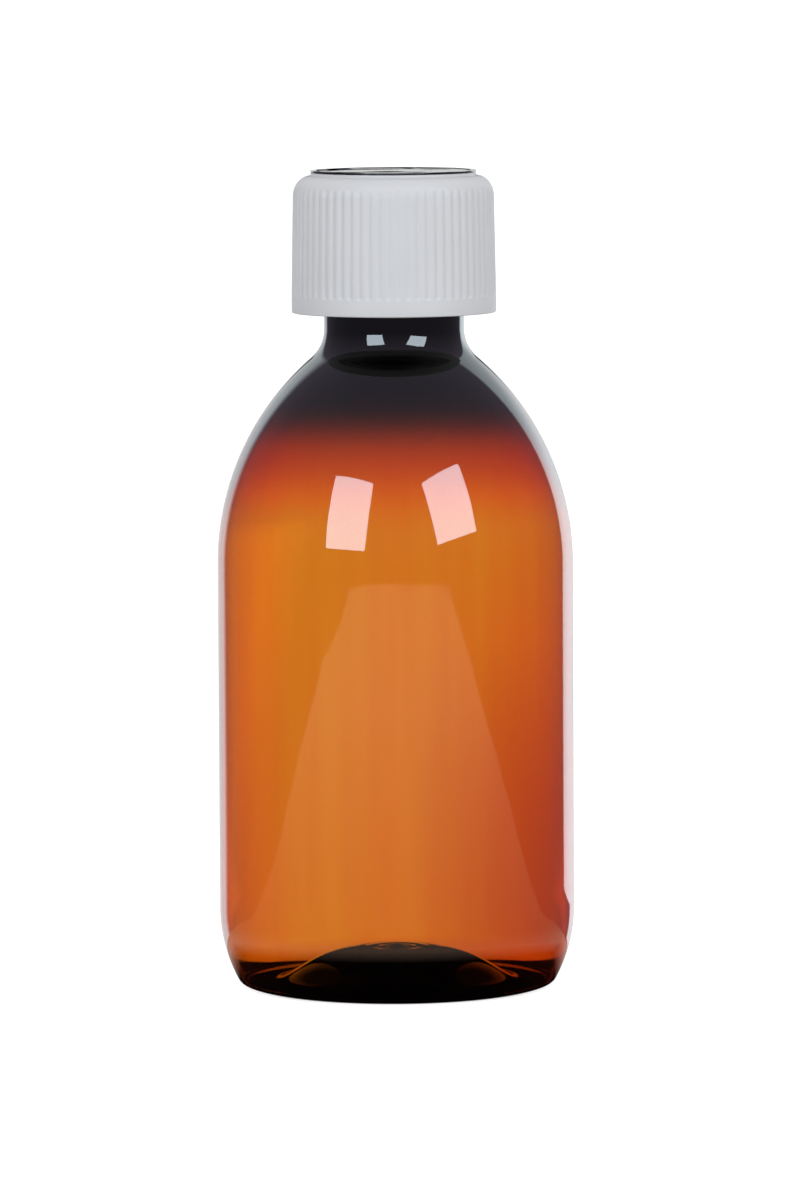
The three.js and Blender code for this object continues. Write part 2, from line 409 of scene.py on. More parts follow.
def colour_mix(tree, blend, factor, first, second):
    inputs = {0: factor, 6: first, 7: second}
    return add(tree, "ShaderNodeMix", inputs, data_type="RGBA", blend_type=blend).outputs[2]


def times(tree, first, second, factor=1.0):
    """Two colours multiplied, in part if the factor is below 1."""
    return colour_mix(tree, "MULTIPLY", factor, first, second)


def maths(tree, operation, *values):
    """The result of an operation on values or sockets."""
    return add(tree, "ShaderNodeMath", dict(enumerate(values)), operation=operation).outputs["Value"]


def vector_maths(tree, operation, *values):
    """The outputs of a vector operation: Vector, or Value where it gives a number."""
    return add(tree, "ShaderNodeVectorMath", dict(enumerate(values)), operation=operation).outputs


def coordinates(tree, place):
    """The X, Y and Z of a place or a direction."""
    return add(tree, "ShaderNodeSeparateXYZ", {"Vector": place}).outputs


def axis_distance(tree, place):
    """How far a place is from the bottle's axis."""
    flat = vector_maths(tree, "MULTIPLY", place, (1, 1, 0))["Vector"]
    return vector_maths(tree, "LENGTH", flat)["Value"]


def bump(tree, height, strength, distance):
    inputs = {"Height": height, "Strength": strength, "Distance": distance}
    return add(tree, "ShaderNodeBump", inputs).outputs["Normal"]


def surface(tree, inputs, volume=None):
    shader = add(tree, "ShaderNodeBsdfPrincipled", inputs)
    links = {"Surface": shader.outputs["BSDF"]}
    if volume:
        links["Volume"] = volume
    add(tree, "ShaderNodeOutputMaterial", links)


# ---------------------------------------------------------------- materials

# All the amber tints are fitted to the photo. It can't tell an uneven wall from uneven light.
AMBER_TINT = (  # by height in metres
    (0.0000, (0.45, 0.20, 0.20)),
    (0.0020, (0.85, 0.65, 0.65)),
    (0.0040, (1.00, 0.96, 0.95)),
    (0.0120, (1.00, 0.92, 0.98)),
    (0.0350, (1.00, 0.955, 1.00)),
    (0.0650, (1.00, 1.00, 1.00)),
    (0.0850, (0.99, 1.00, 1.00)),
    (0.0880, (0.90, 1.00, 1.00)),
    (0.0920, (0.76, 1.00, 1.00)),
    (0.0940, (0.63, 0.99, 1.00)),
    (0.0960, (0.42, 0.82, 0.92)),
    (0.0980, (0.22, 0.57, 0.62)),
    (0.1000, (0.085, 0.33, 0.37)),
    (0.1030, (0.012, 0.08, 0.08)),
    (0.1070, (0.006, 0.006, 0.008)),
    (0.1320, (0.006, 0.006, 0.008)),
)
BASE_TINT_AND_SHADE = (0.004, 0.003, 0.003, 1)  # the thick push-up, deepened to near-black by painted shade
BASE_TINT_AND_SHADE_R = (0.0248, 0.0256)  # where its tint and painted shade fade out, from the axis
BASE_TINT_AND_SHADE_Z = (0.0085, 0.0095)  # and above the floor
AMBER_SIDE = (0.99, 0.74, 0.90, 1)  # deeper low down on the right
AMBER_SIDE_X = (0.003, 0.020)
AMBER_SIDE_Z = (0.032, 0.078)
AMBER_STREAK = (0.99, 0.93, 0.93)
AMBER_ACROSS = (  # from left to right, in metres
    (-0.0305, (1, 0.93, 1)),
    (-0.0258, (0.995, 0.89, 1)),
    (-0.0225, (1, 0.92, 1)),
    (-0.0170, (1, 0.97, 1)),
    (-0.0095, (1, 0.96, 1)),
    (-0.0010, (1, 0.89, 1)),
    (0.0095, (1, 0.915, 1)),
    (0.0160, (1, 0.93, 1)),
    (0.0305, (1, 0.84, 1)),
)
AMBER_ABSORBS = (1.0, 0.80, 0.13, 1)
AMBER_DENSITY = 6000
CLEAR = (0.93, 0.95, 0.97)
BORDER = (0.02, 0.025, 0.04)
BORDER_START = 0.93  # of the window's radius
OUTER_WHITE = (0.70, 0.712, 0.74)
INNER_WHITE = (0.78, 0.78, 0.76)
CARD_DARK = (0.012, 0.014, 0.022)
CARD_LIGHT = (0.03, 0.034, 0.048)
ARROW_DARK = (0.55, 0.56, 0.58)
ARROW_LIGHT = (0.68, 0.69, 0.7)


def amber_tint(tree):
    """Nearly clear round the body, dark at the neck where the wall is thick, darker low down, and
    near-black in the push-up: its thick wall deepened by painted shade.
    """
    place = object_position(tree)
    x, _, height = coordinates(tree, place)
    top = AMBER_TINT[-1][0]
    reach = spread(tree, height, 0, 1, 0, top)
    wall = ramp(tree, reach, [(z / top, colour) for z, colour in AMBER_TINT])
    # The push-up's near-black is its thick wall, deepened by painted shade.
    inside = spread(tree, axis_distance(tree, place), 1, 0, *BASE_TINT_AND_SHADE_R)
    low = spread(tree, height, 1, 0, *BASE_TINT_AND_SHADE_Z)
    base = maths(tree, "MULTIPLY", inside, low)
    right = spread(tree, x, 0, 1, *AMBER_SIDE_X)
    under = spread(tree, height, 1, 0, *AMBER_SIDE_Z)
    side = maths(tree, "MULTIPLY", right, under)
    streaks = ramp(tree, noise(tree, 260, (1, 1, 0.04), 5), [(0.35, AMBER_STREAK), (0.65, (1, 1, 1))])
    left_end = AMBER_ACROSS[0][0]
    right_end = AMBER_ACROSS[-1][0]
    width = right_end - left_end
    across = spread(tree, x, 0, 1, left_end, right_end)
    bands = ramp(tree, across, [((at - left_end) / width, colour) for at, colour in AMBER_ACROSS])
    body = times(tree, times(tree, times(tree, wall, AMBER_SIDE, side), streaks), bands)
    return colour_mix(tree, "MIX", base, body, BASE_TINT_AND_SHADE)


def amber_material():
    """Clear amber PET: the wall's own depth and a tint colour it, and fine scuffs dull it."""
    material, tree = new_material("amber_pet")
    scratches = noise(tree, 900, (1, 1, 0.06), 4)
    ripple = noise(tree, 70, (1, 1, 0.5), 1)
    volume = add(tree, "ShaderNodeVolumeAbsorption", {"Color": AMBER_ABSORBS, "Density": AMBER_DENSITY})
    inputs = {
        "Base Color": amber_tint(tree),
        "Roughness": spread(tree, scratches, 0.015, 0.05, 0.45, 0.75),
        "IOR": 1.57,
        "Transmission Weight": 1.0,
        "Normal": bump(tree, ripple, 0.15, 0.0002),
    }
    surface(tree, inputs, volume.outputs["Volume"])
    return material


def white_material(name, colour, roughness):
    """Satin injection-moulded polypropylene with a fine spark-eroded grain."""
    material, tree = new_material(name)
    clouds = noise(tree, 60, detail=3)
    shade = tuple(part * 0.96 for part in colour)
    grain = noise(tree, 4000, detail=2)
    inputs = {
        "Base Color": ramp(tree, clouds, [(0.35, shade), (0.65, colour)]),
        "Roughness": spread(tree, grain, roughness - 0.05, roughness + 0.06),
        "IOR": 1.49,
        "Normal": bump(tree, grain, 0.15, 0.00002),
    }
    surface(tree, inputs)
    return material


def foam_material():
    """Closed-cell foam sheet with shallow pits, darker towards their bottoms by painted shade."""
    material, tree = new_material("foam_liner")
    place = object_position(tree)
    cells = add(tree, "ShaderNodeTexVoronoi", {"Vector": place, "Scale": 2600})
    pits = cells.outputs["Distance"]
    # The base colour darkens in the pits: painted shade.
    inputs = {
        "Base Color": ramp(tree, pits, [(0.1, (0.74, 0.72, 0.67)), (0.6, (0.87, 0.86, 0.82))]),
        "Roughness": spread(tree, pits, 0.65, 0.85, 0, 0.7),
        "Normal": bump(tree, pits, 0.4, 0.00006),
    }
    surface(tree, inputs)
    return material


def card_material(name, dark, light):
    """Coated print card with a faint fibre."""
    material, tree = new_material(name)
    fibre = noise(tree, 1800, (1, 0.2, 1), 5)
    inputs = {
        "Base Color": ramp(tree, fibre, [(0.3, dark), (0.7, light)]),
        "Roughness": spread(tree, fibre, 0.32, 0.5),
        "Normal": bump(tree, fibre, 0.1, 0.00002),
    }
    surface(tree, inputs)
    return material


def window_material():
    """Clear polished polystyrene, a little warped, with a dark border printed under its edge."""
    material, tree = new_material("clear_window")
    wear = noise(tree, 1500, (1, 0.08, 1), 4)
    warp = noise(tree, 130, (1, 0.55, 1), 1)
    reach = spread(tree, axis_distance(tree, object_position(tree)), 0, 1, 0, WINDOW_R * MM)
    stops = [(0.0, CLEAR), (BORDER_START, CLEAR), (BORDER_START + 0.01, BORDER), (1.0, BORDER)]
    inputs = {
        "Base Color": ramp(tree, reach, stops),
        "Roughness": spread(tree, wear, 0.01, 0.06, 0.5, 0.8),
        "IOR": 1.59,
        "Transmission Weight": 1.0,
        "Normal": bump(tree, warp, 0.8, 0.0012),
    }
    surface(tree, inputs)
    return material


# ---------------------------------------------------------------- bottle

HEEL_CENTRE = (BODY_R - HEEL_R, HEEL_TOP)
HEEL_ANGLE = math.degrees(math.asin((HEEL_TOP - TOE_R) / (HEEL_R - TOE_R)))
LAND_R = HEEL_CENTRE[0] + (HEEL_R - TOE_R) * math.cos(math.radians(HEEL_ANGLE))
TOE_CENTRE = (LAND_R, TOE_R)
SHOULDER_CENTRE = (BODY_R - SHOULDER_R, SHOULDER_BASE)
FILLET_REACH = NECK_R + NECK_FILLET_R - SHOULDER_CENTRE[0]
FILLET_RISE = math.sqrt((SHOULDER_R + NECK_FILLET_R) ** 2 - FILLET_REACH ** 2)
FILLET_CENTRE = (NECK_R + NECK_FILLET_R, SHOULDER_BASE + FILLET_RISE)
SHOULDER_ANGLE = math.degrees(math.atan2(FILLET_RISE, FILLET_REACH))


def wall_at(z):
    return WALL + (NECK_WALL - WALL) * smoothstep(z, WALL_GROWS_FROM, WALL_GROWS_TO)


def ridge(angle, height, start_z, root_half, crest_half):
    """How far up a thread's flank a point is, from 0 beside the ridge to 1 on its crest."""
    best = 0
    for turn in range(math.ceil(THREAD_TURNS)):
        wound = angle + turn * FULL_TURN
        if wound > THREAD_TURNS * FULL_TURN:
            continue
        off = abs(height - start_z - PITCH * wound / FULL_TURN)
        fade = smoothstep(min(wound, THREAD_TURNS * FULL_TURN - wound), 0, RUN_OUT)
        best = max(best, fade * (1 - smoothstep(off, crest_half, root_half)))
    return best


def swell(r, reach):
    """A broad flat-topped rise: 1 on the axis, falling smoothly to 0 at a radius."""
    return (1 - min(1, r / reach) ** SWELL_POWER) ** 2


def base_outside():
    """The push-up under the base, with the gate mark and its ripples in the middle."""
    points = []
    steps = 90
    for i in range(steps + 1):
        r = LAND_INNER_R * i / steps
        z = PUSH_UP * swell(r, LAND_INNER_R)
        z -= GATE_DROP * (1 - smoothstep(r, *GATE_EDGE))
        z += RIPPLE_HEIGHT * math.cos(FULL_TURN * r / RIPPLE_PITCH) * math.exp(-(r / RIPPLE_REACH) ** 2)
        points.append((r, z))
    return points


def base_inside():
    """The inside of the push-up, thickest in the middle, from its edge to the axis."""
    points = []
    steps = 60
    for i in range(steps):
        r = DOME_R * (1 - i / steps)
        z = WALL + (DOME_TOP - WALL) * swell(r, DOME_R)
        z += INSIDE_RIPPLE * math.cos(FULL_TURN * r / INSIDE_PITCH) * math.exp(-(r / RIPPLE_REACH) ** 2)
        z += INSIDE_NUB * (1 - smoothstep(r, *NUB_EDGE))
        points.append((r, z))
    return points


def bottle_outline():
    bead_top = BEAD_Z + BEAD_HEIGHT
    edge = 0.5
    finish = rounded([
        (NECK_R, FILLET_CENTRE[1], 0),
        (NECK_R, BEAD_Z - edge, 0.4),
        (BEAD_R, BEAD_Z, 0.3),
        (BEAD_R, bead_top, 0.3),
        (FINISH_R, bead_top + edge, 0.3),
        (FINISH_R, RIM_Z, 0.5),
        (BORE_R, RIM_Z, 0.4),
        (BORE_R, BEAD_Z, 0),
    ])
    finish = dense(finish, LONGEST_FINISH)

    def inside_fillet(angle):
        return NECK_FILLET_R + wall_at(FILLET_CENTRE[1] + NECK_FILLET_R * math.sin(angle))

    def inside_shoulder(angle):
        return SHOULDER_R - wall_at(SHOULDER_BASE + SHOULDER_R * math.sin(angle))

    outline = [
        *base_outside(),
        *arc(TOE_CENTRE, TOE_R, -90, -HEEL_ANGLE, TOE_STEPS),
        *arc(HEEL_CENTRE, HEEL_R, -HEEL_ANGLE, 0, HEEL_STEPS)[1:],
        *arc(SHOULDER_CENTRE, SHOULDER_R, 0, SHOULDER_ANGLE, SHOULDER_STEPS),
        *arc(FILLET_CENTRE, NECK_FILLET_R, 180 + SHOULDER_ANGLE, 180, FILLET_STEPS)[1:-1],
        *finish,
        *arc(FILLET_CENTRE, inside_fillet, 180, 180 + SHOULDER_ANGLE, FILLET_STEPS),
        *arc(SHOULDER_CENTRE, inside_shoulder, SHOULDER_ANGLE, 0, SHOULDER_STEPS)[1:],
        *arc(HEEL_CENTRE, HEEL_R - WALL, 0, -HEEL_ANGLE, HEEL_STEPS),
        *arc(TOE_CENTRE, TOE_R - WALL, -HEEL_ANGLE, -90, TOE_STEPS - 2)[1:],
        *base_inside(),
        (0, DOME_TOP + INSIDE_RIPPLE + INSIDE_NUB),
    ]
    return dense(outline)


def bottle_shape():
    start_z = THREAD_TOP - THREAD_TURNS * PITCH

    def threaded(angle, radius, height):
        if radius < FINISH_R - 0.01 or height < BEAD_Z + BEAD_HEIGHT:
            return radius
        stand = ridge(angle, height, start_z, THREAD_ROOT_HALF, THREAD_CREST_HALF)
        return radius + (THREAD_CREST_R - FINISH_R) * stand

    return revolved(bottle_outline(), COLUMNS, threaded)


# ---------------------------------------------------------------- caps

def liner_shape():
    top = LINER_Z + LINER_THICK
    outline = rounded([
        (0, LINER_Z, 0),
        (LINER_R, LINER_Z, 0.25),
        (LINER_R, top, 0.25),
        (0, top, 0),
    ])
    return revolved(dense(outline, LONGEST_FLAT))


def inner_cap_shape():
    outline = rounded([
        (0, INNER_CEILING, 0),
        (INNER_BORE_R, INNER_CEILING, 0.4),
        (INNER_BORE_R, INNER_BASE + 0.5, 0.2),
        (INNER_BORE_R + 0.5, INNER_BASE, 0.2),
        (INNER_R, INNER_BASE, 0.25),
        (INNER_R, INNER_TOP, 0.5),
        (0, INNER_TOP, 0),
    ])
    start_z = THREAD_TOP - (THREAD_TURNS + 0.5) * PITCH

    def threaded(angle, radius, height):
        if abs(radius - INNER_BORE_R) > 0.01:
            return radius
        stand = ridge(angle, height, start_z, INNER_ROOT_HALF, INNER_CREST_HALF)
        return radius - (INNER_BORE_R - INNER_CREST_R) * stand

    half = LUG_WIDE / 2
    lug = [(-half, -LUG_ROOT), (half, -LUG_ROOT), (half, 0), (0, LUG_HEIGHT), (-half, LUG_HEIGHT)]
    cap = revolved(dense(outline, LONGEST_INNER), COLUMNS, threaded)
    for i in range(LUGS):
        angle = FULL_TURN * i / LUGS
        cap = joined(cap, prism(lug, angle, LUG_INNER_R, LUG_LENGTH, INNER_TOP, LUG_BEVEL))
    return cap


def outer_cap_shape():
    inside = rounded([
        (0, SHELL_CEILING, 0),
        (SHELL_BORE_R, SHELL_CEILING, 0.8),
        (SHELL_BORE_R, SNAP_Z + 1, 0.2),
        (SNAP_R, SNAP_Z + 0.5, 0.15),
        (SNAP_R, SNAP_Z, 0.15),
        (SHELL_BORE_R, SNAP_Z - 0.5, 0.2),
        (SHELL_BORE_R, SHELL_BASE, 0.15),
        (SHELL_R, SHELL_BASE, 0.25),
        (SHELL_R, RIB_BASE, 0),
    ])
    side = [(SHELL_R, RIB_BASE + 0.1 * k) for k in range(1, 8)] + [(SHELL_TOP_R, SHOULDER_Z)]
    shoulder_r = SHELL_TOP_R - SHOULDER_WIDE
    shoulder = []
    for across, up in arc((0, 0), 1, 0, 90, 24)[1:]:
        shoulder.append((shoulder_r + SHOULDER_WIDE * across, SHOULDER_Z + SHOULDER_HIGH * up))
    top = rounded([
        (*shoulder[-1], 0),
        (PLATFORM_R, PLATFORM_Z, 0.1),
        (RECESS_R, PLATFORM_Z, 0.08),
        (RECESS_R, RECESS_Z, 0.08),
        (0, RECESS_Z, 0),
    ])
    outline = [*inside, *side, *shoulder, *top[1:]]

    def ribbed(angle, radius, height):
        if radius < PLATFORM_R:
            return radius
        if radius < SHELL_BORE_R + 0.01 and height < SHELL_CEILING - 0.01:
            return radius
        standing = smoothstep(height, RIB_BASE, RIB_BASE + RIB_FADE)
        standing *= 1 - smoothstep(height, RIB_TOP - RIB_FADE, RIB_TOP + RIB_OVERRUN)
        groove = 0.5 - 0.5 * math.cos(RIBS * angle)
        return radius - RIB_DEPTH * standing * groove ** RIB_WIDTH

    half = LUG_WIDE / 2
    lug = [(half, LUG_ROOT), (-half, LUG_ROOT), (-half, 0), (0, -LUG_HEIGHT), (half, -LUG_HEIGHT)]
    shell = revolved(dense(outline, LONGEST_FLAT), RIBS * RIB_COLUMNS, ribbed)
    for i in range(LUGS):
        angle = FULL_TURN * (i + 0.5) / LUGS
        shell = joined(shell, prism(lug, angle, LUG_INNER_R, LUG_LENGTH, SHELL_CEILING, LUG_BEVEL))
    return shell


def spring_shape():
    top = SPRING_Z + SPRING_THICK
    ring = [
        (SPRING_BORE_R, SPRING_Z, 0),
        (SPRING_R, SPRING_Z, 0.12),
        (SPRING_R, top, 0.12),
        (SPRING_BORE_R, top, 0.12),
        (SPRING_BORE_R, SPRING_Z + 0.01, 0),
    ]
    spring = revolved(rounded(ring, 3), SPRING_COLUMNS, closed=True)
    under = []
    over = []
    for k in range(FINGER_STEPS + 1):
        along = -FINGER_ROOT + (FINGER_RUN + FINGER_ROOT) * k / FINGER_STEPS
        fall = -FINGER_DROP * smoothstep(along, -FINGER_ROOT / 2, FINGER_RUN - FINGER_ROOT)
        under.append((along, fall))
        over.append((along, fall + SPRING_THICK * (1 - FINGER_THINS * k / FINGER_STEPS)))
    leaf = under + over[::-1]
    for i in range(FINGERS):
        angle = FULL_TURN * i / FINGERS
        spring = joined(spring, prism(leaf, angle, FINGER_R, FINGER_WIDE, SPRING_Z, FINGER_BEVEL))
    return spring


# ---------------------------------------------------------------- card and window

def card_shape():
    top = CARD_Z + CARD_THICK
    outline = rounded([
        (0, CARD_Z, 0),
        (CARD_R, CARD_Z, 0.06),
        (CARD_R, top, 0.06),
        (0, top, 0),
    ])
    return revolved(dense(outline, LONGEST_FLAT))


def arrow_shape(start):
    """A flat curved arrow that runs clockwise seen from above, lying on the card."""
    low = CARD_Z + CARD_THICK - 0.01
    high = CARD_Z + CARD_THICK + ARROW_LIFT
    middle = (ARROW_INNER_R + ARROW_OUTER_R) / 2
    barb = ARROW_OUTER_R - ARROW_INNER_R
    steps = 20
    body = ARROW_SWEEP - ARROW_HEAD
    inner = []
    outer = []
    for k in range(steps + 1):
        angle = start - body * k / steps
        inner.append((ARROW_INNER_R * math.cos(angle), ARROW_INNER_R * math.sin(angle)))
        outer.append((ARROW_OUTER_R * math.cos(angle), ARROW_OUTER_R * math.sin(angle)))
    neck = start - body
    tip = start - ARROW_SWEEP
    head = [
        ((middle - barb) * math.cos(neck), (middle - barb) * math.sin(neck)),
        (middle * math.cos(tip), middle * math.sin(tip)),
        ((middle + barb) * math.cos(neck), (middle + barb) * math.sin(neck)),
    ]
    rim = inner + head + outer[::-1]
    count = len(rim)
    vertices = [(x, y, low) for x, y in rim] + [(x, y, high) for x, y in rim]
    faces = [[i, (i + 1) % count, count + (i + 1) % count, count + i] for i in range(count)]
    faces.append(list(range(count))[::-1])
    faces.append(list(range(count, 2 * count)))
    return vertices, faces


def window_shape():
    bottom = WINDOW_Z - WINDOW_DROP
    top = WINDOW_Z + WINDOW_THICK
    outline = rounded([
        (0, bottom, 0),
        (CARD_R, bottom, 0.05),
        (CARD_R, WINDOW_Z, 0.05),
        (WINDOW_R, WINDOW_Z, 0.1),
        (WINDOW_R, top, 0.05),
        (WINDOW_R - 0.9, top, 0.1),
        (WINDOW_R - 1.1, top - WINDOW_DISH, 0.1),
        (0, top - WINDOW_DISH, 0),
    ])
    return revolved(dense(outline, LONGEST_WINDOW))


# ---------------------------------------------------------------- studio

# The studio isn't a physical one. What shows directly, what shows through the plastic, what is
# mirrored and what lights matt surfaces each have values of their own, fitted to the photo.

WHITE = (1, 1, 1, 1)
# the black of the painted shadows on the floor
SHADOW_BLACK = (0.01, 0.01, 0.01, 1)

# The bright surroundings, as they show directly and through the plastic
WHITE_OUT = 1.06
SEEN_THROUGH = 0.75
MATT_FILL = 0.64  # what matt surfaces get from the surroundings
MATT_FLOOR = 0.46  # and from the floor

# The dim room that reflections see
ROOM_TINT = (0.85, 0.78, 1.0, 1)
ROOM_LOW = 0.18
ROOM_HIGH = 0.42
ROOM_HIGH_AT = 0.8  # sine of the elevation
DEEP_LEFT = 0.1  # how much is left of it in reflections beyond the front wall

# The backdrop panel that reflections see. Its places are parts of a direction of length 1.
PANEL_LEFT_EDGE = math.radians(33.2)  # from straight behind
PANEL_RIGHT_EDGE = math.radians(40.5)
PANEL_LEFT_SOFT = 0.06
PANEL_RIGHT_SOFT = 0.02
PANEL_SIDE = (0.88, 0.98, 1.04)
PANEL_CENTRE = (1.0, 1.0, 1.0)
PANEL_HALF = 0.5  # from its middle to where its side colours are reached
PANEL_LEFT = 1.45
PANEL_MIDDLE = 0.7
PANEL_RIGHT = 2.35
PANEL_RIGHT_X = (0.1, 0.53)
PANEL_RIGHT_Z = (0.1, 0.35)
PANEL_RIGHT_HIGH = 0.45  # how much of the right side's extra brightness is left above PANEL_RIGHT_Z
PANEL_INSIDE = 0.9  # how bright it is in the middle in reflections inside the plastic
PANEL_INSIDE_ASIDE = 0.027  # and to the sides
PANEL_INSIDE_X = (0.1, 0.35)
PANEL_TOP = 0.06  # sine of its top's elevation, straight behind
PANEL_TOP_X = (0.2, 0.4)
PANEL_TOP_SOFT = 0.05
RIM_X = 0.029  # where the bottle's sides mirror the floor behind it
RIM_Y = -0.008

# The floor as it shows through the plastic, with places in metres
SHADE = 0.32  # how much painted shade darkens it behind the bottle's right side
SHADE_X = (0.0, 0.03)
SHADE_NEAR = (0.1, 0.6)
SHADE_BEHIND = (0.03, 0.05)
LEFT_GAIN = 0.16  # how much painted light brightens it behind the bottle's left side
LEFT_GAIN_X = (-0.048, -0.03)
LEFT_GAIN_Y = (0.9, 1.6)
FOOT_R = (0.036, 0.042)  # a painted shadow makes it black under the bottle's foot, this far from the axis
FOOT_Y = (0.0237, 0.0253)  # and this far back
UNDER_BASE_R = (0.0245, 0.0255)  # and the painted shadow makes it black to the camera under the base itself

# The floor as reflections see it, with a painted shadow round the foot and a painted pool of light
SHADOW_R = (0.041, 0.051)
SHADOW_Y = (0, 0.02)
POOL_TINT = (1.0, 1.0, 0.9, 1)
POOL_FOOT = 0.45
POOL_FOOT_R = (0.05, 0.12)
POOL_NEAR = 0.3
POOL_FAR = 0.75
POOL_FAR_R = (0.1, 0.5)

# The floor's sheets, each a little under the bottle
FLOOR_HALF = 30
FLOOR_Z = -0.0004
LIT_Z = -0.0003
DIM_Z = -0.0002
LIT_FLOOR = (  # corners of the painted pool of light on the floor, which the bottle's front mirrors
    (0, 0.03), (-0.09, 0.028), (-0.16, 0), (-0.215, -0.035), (-0.29, -0.09), (-0.355, -0.17),
    (-0.411, -0.278), (-0.444, -0.42), (-0.4, -0.58), (-0.392, -0.7), (-0.33, -0.74), (-0.2, -0.795),
    (0, -0.817), (0.24, -0.79), (0.4, -0.72), (0.454, -0.66), (0.459, -0.545), (0.457, -0.403),
    (0.414, -0.272), (0.36, -0.155), (0.293, -0.074), (0.219, -0.022), (0.159, 0.007), (0.09, 0.028),
)
# A dim sheet behind the bottle's right side: painted shade, which only reflections see
DIM_FLOOR = ((0.045, 0.025), (0.3, 0.025), (0.3, 0.1), (0.078, 0.09))

# Lights
SOFTBOX_TINT = (0.74, 0.86, 0.95)
LIGHTS_AIM = Vector((0, 0, 0.085))
LIGHTS_DISTANCE = 0.9
LIGHTS = (  # name, azimuth, elevation, roll, size, radiance, and whether it is only mirrored
    ("left_softbox", -32, 20.5, -1, (0.42, 0.47), 9.7, True),
    ("right_softbox", 39, 23.5, 8, (0.45, 0.44), 9.7, True),
    ("left_fill", -38, 25, 0, (0.8, 0.8), 0.9, False),
    ("right_fill", 42, 25, 0, (0.8, 0.8), 1.13, False),
)


def area_light(name, azimuth, elevation, roll, size, radiance, mirrored_only):
    """A rectangular light aimed at the bottle. Azimuth is 0 in front and grows to the right.

    It is either only mirrored by glossy surfaces, or only lights matt ones.
    """
    az = math.radians(azimuth)
    el = math.radians(elevation)
    towards = Vector((math.sin(az) * math.cos(el), -math.cos(az) * math.cos(el), math.sin(el)))
    data = bpy.data.lights.new(name, "AREA")
    data.shape = "RECTANGLE"
    data.size, data.size_y = size
    data.energy = radiance * math.pi * size[0] * size[1]
    if mirrored_only:
        data.color = SOFTBOX_TINT
    made = bpy.data.objects.new(name, data)
    made.location = LIGHTS_AIM + towards * LIGHTS_DISTANCE
    turn = Matrix.Rotation(math.radians(roll), 3, "Z")
    made.rotation_euler = (towards.to_track_quat("Z", "Y").to_matrix() @ turn).to_euler()
    made.visible_camera = False
    made.visible_transmission = False
    made.visible_glossy = mirrored_only
    made.visible_diffuse = not mirrored_only
    bpy.context.scene.collection.objects.link(made)


def light_path(tree, name):
    return add(tree, "ShaderNodeLightPath").outputs[name]


def mirrored(tree):
    """1 for light that has been mirrored on its way, and 0 for what shows directly or refracted."""
    return maths(tree, "MINIMUM", light_path(tree, "Glossy Depth"), 1.0)


def refracted(tree):
    """1 for light that has come through clear plastic, and 0 for what hasn't."""
    return maths(tree, "MINIMUM", light_path(tree, "Transmission Depth"), 1.0)


def dimmed_inside(tree, strength):
    """A strength that falls for light mirrored beyond the front wall, down inside the bottle."""
    left_over = spread(tree, light_path(tree, "Transmission Depth"), 1, DEEP_LEFT, 2, 3)
    return maths(tree, "MULTIPLY", strength, left_over)


def mixed(tree, factor, first, second):
    return add(tree, "ShaderNodeMixShader", {0: factor, 1: first, 2: second}).outputs["Shader"]


def glow(tree, colour, strength):
    return add(tree, "ShaderNodeEmission", {"Color": colour, "Strength": strength}).outputs[0]


def sky(tree, colour, strength):
    return add(tree, "ShaderNodeBackground", {"Color": colour, "Strength": strength}).outputs[0]


def panel_part(tree, place):
    """1 where the backdrop panel stands, as seen from the bottle, and 0 beside it."""
    left = (math.cos(PANEL_LEFT_EDGE), math.sin(PANEL_LEFT_EDGE), 0)
    right = (-math.cos(PANEL_RIGHT_EDGE), math.sin(PANEL_RIGHT_EDGE), 0)
    sides = []
    for normal, soft in ((left, PANEL_LEFT_SOFT), (right, PANEL_RIGHT_SOFT)):
        along = vector_maths(tree, "DOT_PRODUCT", place, normal)["Value"]
        sides.append(spread(tree, along, 0, 1, -soft, soft))
    return maths(tree, "MULTIPLY", *sides)


def mirrored_room(tree, light, place, room_strength):
    """What reflections see: a dim room, and a bright panel behind the bottle, low in its middle.

    light is glow or sky, and place is a direction.
    """
    across, _, height = coordinates(tree, place)
    leftward = spread(tree, across, PANEL_LEFT, PANEL_MIDDLE, -PANEL_HALF, 0)
    right = spread(tree, across, 0, 1, *PANEL_RIGHT_X)
    lower = spread(tree, height, 1, PANEL_RIGHT_HIGH, *PANEL_RIGHT_Z)
    rightward = spread(tree, maths(tree, "MULTIPLY", right, lower), PANEL_MIDDLE, PANEL_RIGHT, 0, 1)
    outside = maths(tree, "MAXIMUM", leftward, rightward)
    aside = maths(tree, "ABSOLUTE", across)
    inside = spread(tree, aside, PANEL_INSIDE, PANEL_INSIDE_ASIDE, *PANEL_INSIDE_X)
    either = add(tree, "ShaderNodeMix", {0: refracted(tree), 2: outside, 3: inside}).outputs["Result"]
    top = spread(tree, aside, PANEL_TOP, 1, *PANEL_TOP_X)
    below = spread(tree, maths(tree, "SUBTRACT", height, top), 1, 0, 0, PANEL_TOP_SOFT)
    strength = maths(tree, "MULTIPLY", either, below)
    colours = [(0, PANEL_SIDE), (0.5, PANEL_CENTRE), (1, PANEL_SIDE)]
    tint = ramp(tree, spread(tree, across, 0, 1, -PANEL_HALF, PANEL_HALF), colours)
    room = light(tree, ROOM_TINT, dimmed_inside(tree, room_strength))
    return mixed(tree, panel_part(tree, place), room, light(tree, tint, strength))


